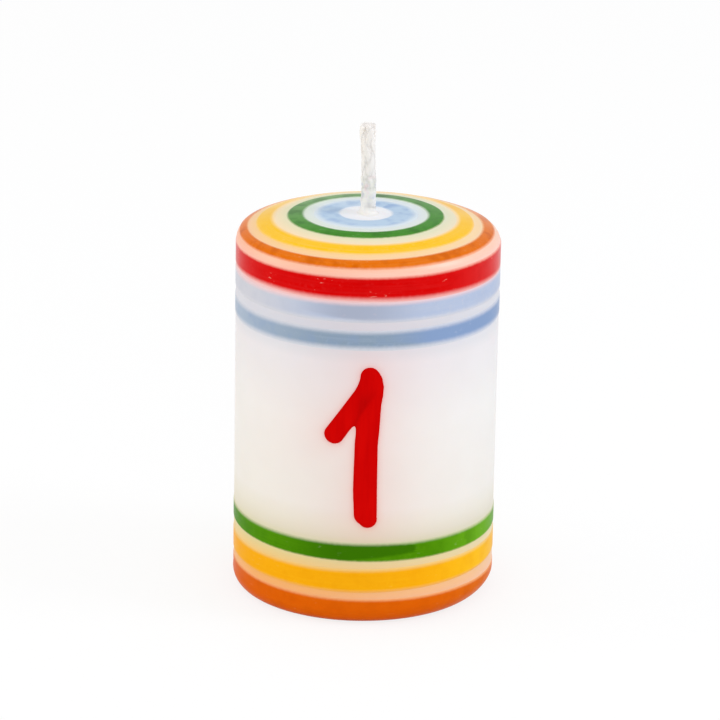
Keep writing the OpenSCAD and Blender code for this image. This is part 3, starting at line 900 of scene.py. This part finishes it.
# The bead's face, its back, which is sunk in the wax, and the wall between them.
upright, flag, depth = numeral_depth(x, z)
rim = np.clip(depth / NUMERAL_EDGE, 0, 1)
lift = np.where(depth > 0, NUMERAL_T * np.sqrt(1 - (1 - rim) ** 2), depth)
s = np.interp(-z, -outline_z, outline_s)
turn = np.arcsin(x / JACKET_R)
top, back = on_candle(s, turn, lift), on_candle(s, turn, np.full_like(s, -PAINT_BACK))
count = len(used)
rim_edges = np.concatenate([faces[:, [k, (k + 1) % 4]] for k in range(4)])
inner = np.isin(rim_edges[:, 0] * count + rim_edges[:, 1], rim_edges[:, 1] * count + rim_edges[:, 0])
a, b = rim_edges[~inner].T
wall = np.stack([b, a, a + count, b + count], -1)
under_flag = np.clip((FLAG[0][1] + numeral_low[1] - z) / OVERLAP_FADE, 0, 1)
both = np.clip(np.minimum(upright, flag) / OVERLAP_SOFT + 0.5, 0, 1) * under_flag
numeral = add_piece(
    "number_one_brushed", np.concatenate([top, back]),
    np.concatenate([faces, faces[:, ::-1] + count, wall]),
    fields={"overlap": np.tile(both, 2), "rim": np.tile(1 - rim, 2)})

# The wax round the numeral is painted with some of its red, a painted glow of its light through the
# wax: much close beside it, and a little further off.
GLOW_REACH, GLOW_SHARE = 5.5, 0.42
BLEED_REACH = 0.35
x, y, z = mesh_points(jacket.data)
away = np.minimum(numeral_depth(x, z)[2], 0)
glow = GLOW_SHARE * np.exp(away / GLOW_REACH) + (1 - GLOW_SHARE) * np.exp(away / BLEED_REACH)
add_field(jacket.data, "numeral_glow", glow * (y < 0))

RED_STREAK_W, RED_STREAK_RUN = 2 * STREAK_W, STREAK_RUN / 2
RED_DEEP, RED_FULL, RED_TWICE = "#c90000", "#d30301", "#ae0000"
RIM_SHARE = 0.35

# Red wax paint is full and even, with faint streaks along the strokes and a soft gloss. It is deeper
# where the strokes cross and round the rim of the bead.
red_wax, tree, surface = new_material("numeral_wax_red", {**PAINT_SHINE, "Sheen Weight": BLOOM / 2})
place = add_node(tree, "TexCoord").outputs["Object"]
brush = add_node(tree, "Mapping", {
    "Vector": place,
    "Scale": (1 / (RED_STREAK_W * MM), 1 / (RED_STREAK_W * MM), 1 / (RED_STREAK_RUN * MM))})
streak = add_node(tree, "TexNoise", {"Vector": brush, "Scale": 1.0, "Detail": 3.0})
drawn = add_node(tree, "MapRange", {"Value": streak, "From Min": 0.35, "From Max": 0.65})
red = add_node(tree, "Mix", {
    "Factor": drawn, "A": linear(RED_DEEP), "B": linear(RED_FULL)}, data_type="RGBA")
overlap = add_node(tree, "Attribute", attribute_name="overlap")
patchy = add_node(tree, "MapRange", {
    "Value": streak, "From Min": 0.35, "From Max": 0.65, "To Min": 0.35, "To Max": 0.85})
at_rim = add_node(tree, "Attribute", attribute_name="rim")
rimmed = add_node(tree, "Math", {0: at_rim.outputs["Fac"], 1: RIM_SHARE}, operation="MULTIPLY")
twice = add_node(tree, "Math", {
    0: overlap.outputs["Fac"], 1: patchy, 2: rimmed}, operation="MULTIPLY_ADD", use_clamp=True)
paint = add_node(tree, "Mix", {"Factor": twice, "A": red, "B": linear(RED_TWICE)}, data_type="RGBA")
gloss = add_node(tree, "MapRange", {"Value": streak, **PAINT_ROUGH})
relief = add_node(tree, "Bump", {"Height": streak, **PAINT_RELIEF})
feed(surface, {"Base Color": paint, "Roughness": gloss, "Normal": relief})
set_material(numeral, red_wax)
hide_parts("number_one")
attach(numeral, "candle")

# Studio: a white floor in even, soft light from all round, with soft boxes at both sides and in front.
# The floor shows the camera and the reflections plain white, and keeps the shadow of the candle.
FLOOR_HALF = 4000
FLOOR_SHADE = 0.2
FLOOR_GREY = "#e8e8e8"
SKY = 0.81
# Soft boxes: place and size, power in watts, and colour.
SOFT_BOXES = {
    "left_box": ((-620, 0, 200), 500, 0.95, "#fff8ec"),
    "right_box": ((620, 0, 200), 500, 0.1, "#d4e2ff"),
    "right_key": ((600, -120, 500), 300, 1.3, "#ebf1ff"),
    "front_fill": ((100, -800, 200), 600, 1.2, "#ffffff")}
floor_mesh = bpy.data.meshes.new("floor")
corners = FLOOR_HALF * MM * np.array([(-1, -1, 0), (1, -1, 0), (1, 1, 0), (-1, 1, 0)])
floor_mesh.from_pydata(corners.tolist(), [], [(0, 1, 2, 3)])
floor = bpy.data.objects.new("floor", floor_mesh)
bpy.context.scene.collection.objects.link(floor)
white_floor = bpy.data.materials.new("studio_floor_white")
white_floor.use_nodes = True
tree = white_floor.node_tree
tree.nodes.clear()
rays = add_node(tree, "LightPath")
seen = add_node(tree, "Math", {
    0: rays.outputs["Is Camera Ray"], 1: rays.outputs["Is Glossy Ray"]}, operation="MAXIMUM")
shown = add_node(tree, "Math", {0: seen, 1: rays.outputs["Is Transmission Ray"]}, operation="MAXIMUM")
lit = add_node(tree, "BsdfDiffuse", {"Color": linear(FLOOR_GREY)})
shade = add_node(tree, "BsdfDiffuse", {"Color": (FLOOR_SHADE, FLOOR_SHADE, FLOOR_SHADE, 1)})
shine = add_node(tree, "Emission", {"Color": (1, 1, 1, 1), "Strength": 1 - FLOOR_SHADE})
pale = add_node(tree, "AddShader", {0: shade, 1: shine})
cover = add_node(tree, "MixShader", {0: shown, 1: lit, 2: pale})
add_node(tree, "OutputMaterial", {"Surface": cover})
set_material(floor, white_floor)

world = bpy.data.worlds.new("soft_studio")
bpy.context.scene.world = world
world.use_nodes = True
feed(world.node_tree.nodes["Background"], {"Color": (1, 1, 1, 1), "Strength": SKY})

target = Vector((0, 0, BODY_H / 2 * MM))
for name, (spot, size, power, colour) in SOFT_BOXES.items():
    lamp = bpy.data.lights.new(name, "AREA")
    lamp.shape = "DISK"
    lamp.size = size * MM
    lamp.energy = power
    lamp.color = linear(colour)[:3]
    holder = bpy.data.objects.new(name, lamp)
    holder.location = Vector(spot) * MM
    holder.rotation_euler = (target - holder.location).to_track_quat("-Z", "Y").to_euler()
    bpy.context.scene.collection.objects.link(holder)

# Camera: a long lens about six tenths of a metre in front of the candle, looking down on it.
# It is held almost level, and aimed at the candle's middle height, a little to the left.
CAMERA_AT = Vector((-0.945, -591.557, 233.5)) * MM
CAMERA_AIM = Vector((-0.945, 0, 35.423)) * MM
CAMERA_ROLL = np.radians(1.01)
CAMERA_LENS = 205.54
CAMERA_NEAR = 50
SENSOR = 36.0
camera = bpy.data.objects.new("camera", bpy.data.cameras.new("camera"))
camera.data.lens = CAMERA_LENS
camera.data.sensor_width = SENSOR
camera.data.clip_start = CAMERA_NEAR * MM
camera.location = CAMERA_AT
camera.rotation_mode = "QUATERNION"
level = (CAMERA_AIM - CAMERA_AT).to_track_quat("-Z", "Y")
camera.rotation_quaternion = level @ Quaternion((0, 0, 1), CAMERA_ROLL)
bpy.context.scene.collection.objects.link(camera)
bpy.context.scene.camera = camera
bpy.context.scene.view_settings.view_transform = "Standard"

bpy.context.view_layer.update()
